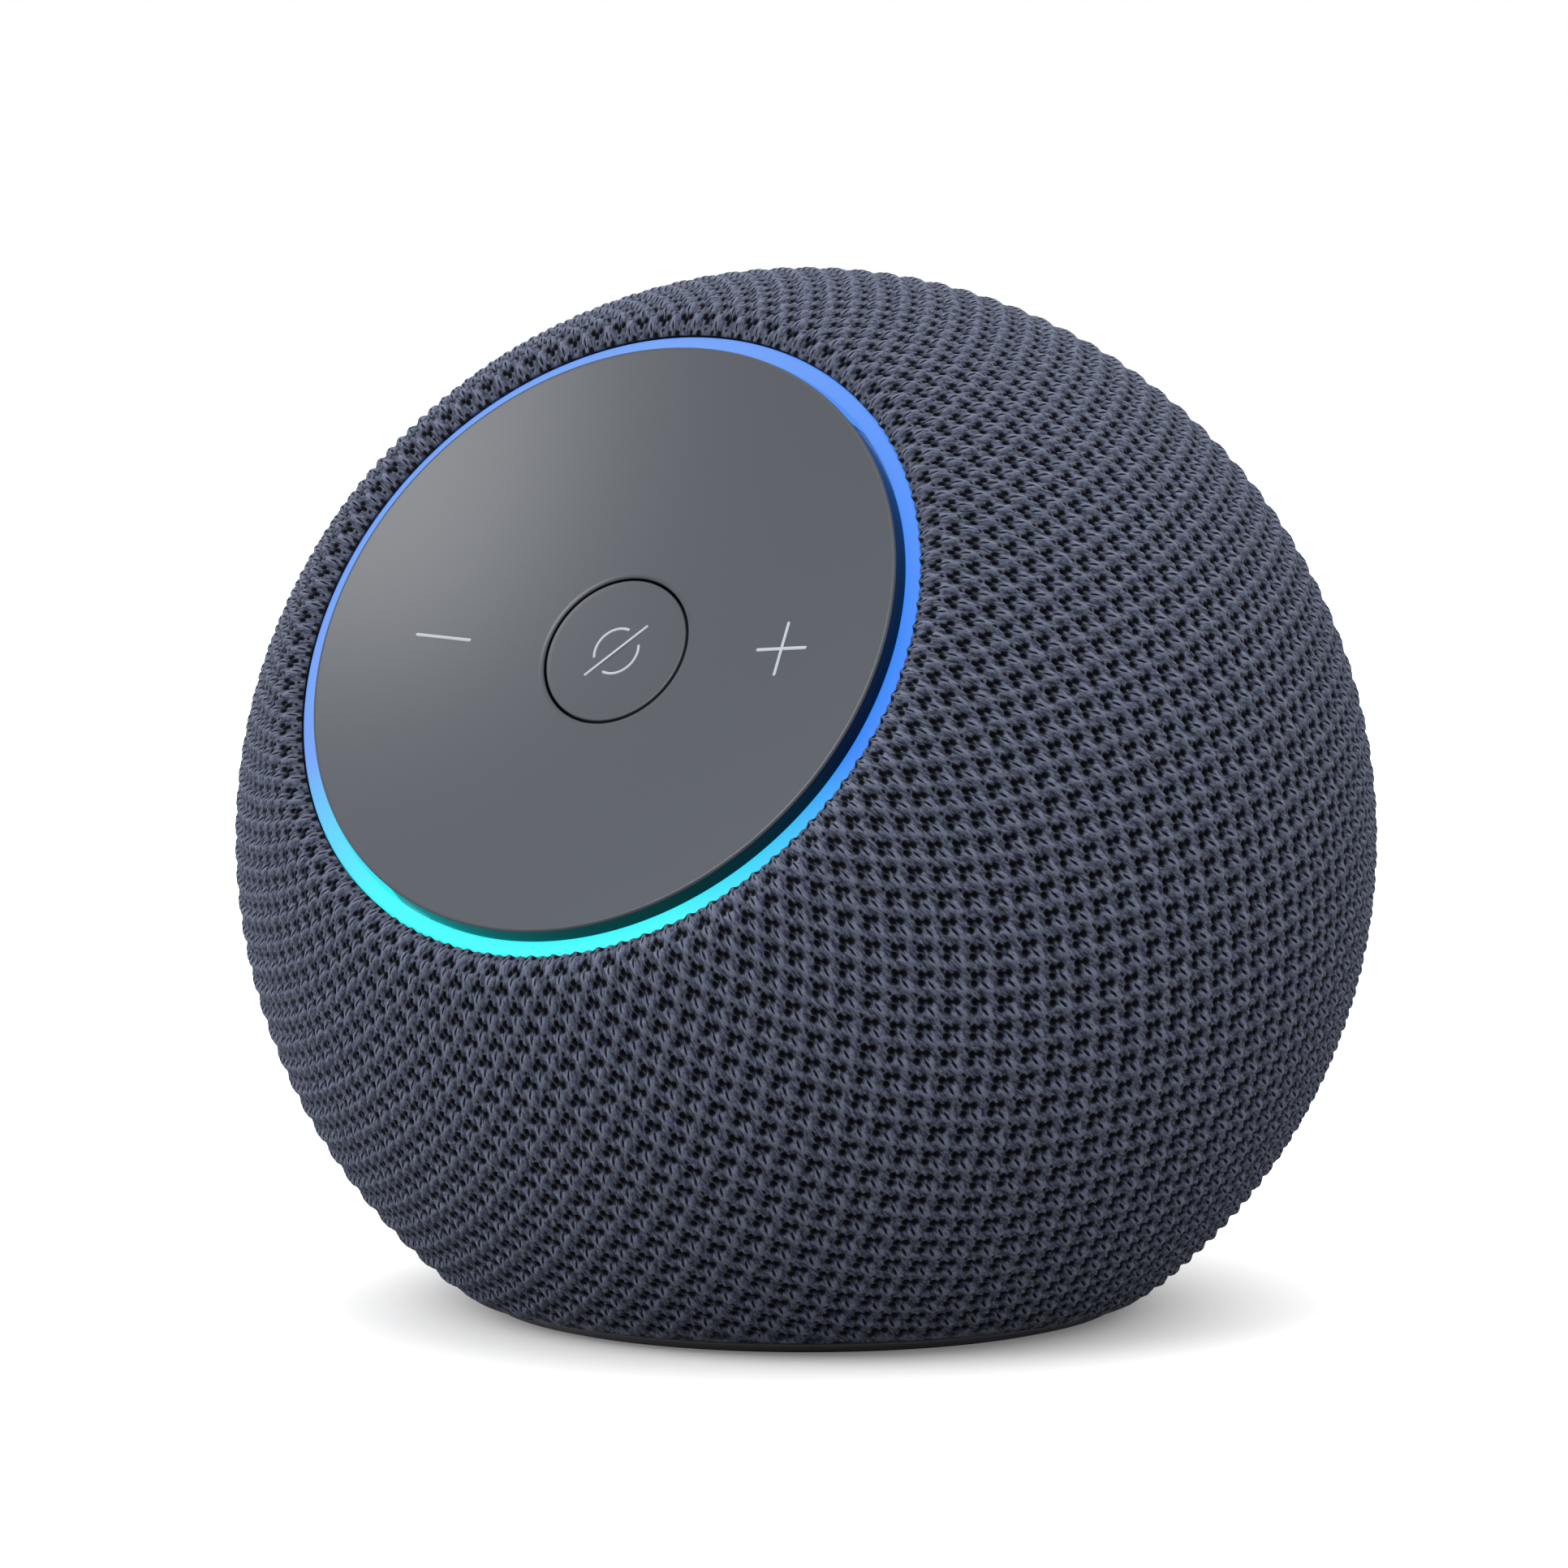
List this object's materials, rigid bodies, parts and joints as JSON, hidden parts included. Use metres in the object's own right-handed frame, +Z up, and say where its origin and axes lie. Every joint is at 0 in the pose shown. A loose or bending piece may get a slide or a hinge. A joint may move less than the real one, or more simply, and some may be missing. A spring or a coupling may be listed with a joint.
{
  "type": "smart speaker",
  "caption": "Fabric-covered ball-shaped smart speaker with a tilted concave control face, a glowing ring round it and a flat base.",
  "frame": {"origin": "centre of the base underside, where the foot pad rests", "axes": "+Z up; the control face looks towards -Y, tilted 30 degrees upwards; the plus mark is on the +X side"},
  "size_m": [0.1084, 0.1078, 0.0992],
  "materials": {
    "knit_fabric": "slate-navy polyester knit",
    "housing_plastic": "moulded black ABS",
    "base_plastic": "moulded charcoal ABS, fine satin",
    "foot_rubber": "moulded silicone rubber",
    "face_plastic": "slate-grey polycarbonate, satin",
    "diffuser": "translucent diffuser, lit blue to cyan",
    "circuit_board": "green solder resist on glass-epoxy",
    "white_board": "white solder resist on glass-epoxy",
    "chip_resin": "moulded epoxy",
    "key_rubber": "grey silicone key domes",
    "steel": "zinc-plated steel",
    "basket_steel": "black-coated pressed steel",
    "ferrite": "sintered ferrite",
    "aluminium": "extruded, natural",
    "contact_brass": "plated brass",
    "copper_coil": "enamelled copper winding",
    "cone_paper": "coated pulp",
    "surround_rubber": "butyl rubber",
    "spider_cloth": "phenolic-treated cotton",
    "dome_silk": "doped silk",
    "ribbon_film": "polyimide film",
    "red_insulation": "PVC insulation",
    "black_insulation": "PVC insulation",
    "gasket_foam": "closed-cell foam"
  },
  "bodies": {
    "housing": {"amplifier_chip": "chip_resin", "base_plate": "base_plastic", "base_screw_1": "steel", "base_screw_2": "steel", "base_screw_3": "steel", "base_screw_4": "steel", "board_screw_1": "steel", "board_screw_2": "steel", "control_board": "circuit_board", "fabric_cover": "knit_fabric", "face_cable": "ribbon_film", "face_carrier": "housing_plastic", "face_screw_1": "steel", "face_screw_2": "steel", "face_screw_3": "steel", "face_screw_4": "steel", "foot_pad": "foot_rubber", "heat_sink": "aluminium", "inlet_bezel": "base_plastic", "inlet_pin": "contact_brass", "led_board": "white_board", "led_strip": "white_board", "light_ring": "diffuser", "lower_housing": "housing_plastic", "main_board": "circuit_board", "microphone_1": "contact_brass", "microphone_2": "contact_brass", "minus_key_dome": "key_rubber", "mute_key_dome": "key_rubber", "pivot_pin_lower": "steel", "pivot_pin_upper": "steel", "plus_key_dome": "key_rubber", "power_inductor": "ferrite", "power_inlet": "base_plastic", "processor_shield": "steel", "speaker_enclosure": "housing_plastic", "tweeter_frame": "housing_plastic", "tweeter_lead": "black_insulation", "tweeter_magnet": "steel", "upper_grille": "housing_plastic", "wireless_antenna": "circuit_board", "woofer_basket": "basket_steel", "woofer_gasket": "gasket_foam", "woofer_lead": "red_insulation", "woofer_magnet": "ferrite", "woofer_screw_1": "steel", "woofer_screw_2": "steel", "woofer_screw_3": "steel", "woofer_screw_4": "steel", "woofer_spider": "spider_cloth", "woofer_surround": "surround_rubber", "woofer_top_plate": "steel", "woofer_yoke": "steel"},
    "face_plate": {"face_plate": "face_plastic"},
    "mute_button": {"mute_button": "face_plastic"},
    "woofer_cone": {"woofer_cone": "cone_paper", "dust_cap": "cone_paper", "voice_coil": "copper_coil"},
    "tweeter_dome": {"tweeter_dome": "dome_silk"}
  },
  "joints": [
    {"name": "face_rocker", "type": "hinge", "parent": "housing", "child": "face_plate", "pos_m": [0, -0.03168, 0.06313], "axis": [0, 0.5, 0.866], "range_deg": [-1, 1], "stiffness_Nm_per_rad": 1, "deforming": ["minus_key_dome", "plus_key_dome"]},
    {"name": "mute_press", "type": "slide", "parent": "face_plate", "child": "mute_button", "axis": [0, 0.866, -0.5], "range_m": [0, 0.0006], "stiffness_N_per_m": 2500, "deforming": ["mute_key_dome"]},
    {"name": "woofer_travel", "type": "slide", "parent": "housing", "child": "woofer_cone", "axis": [0, 0.5, 0.866], "range_m": [-0.002, 0.002], "stiffness_N_per_m": 1000, "deforming": ["woofer_surround", "woofer_spider"]},
    {"name": "tweeter_travel", "type": "slide", "parent": "housing", "child": "tweeter_dome", "axis": [0, -0.8572, -0.515], "range_m": [-0.00025, 0.00025], "stiffness_N_per_m": 300}
  ]
}
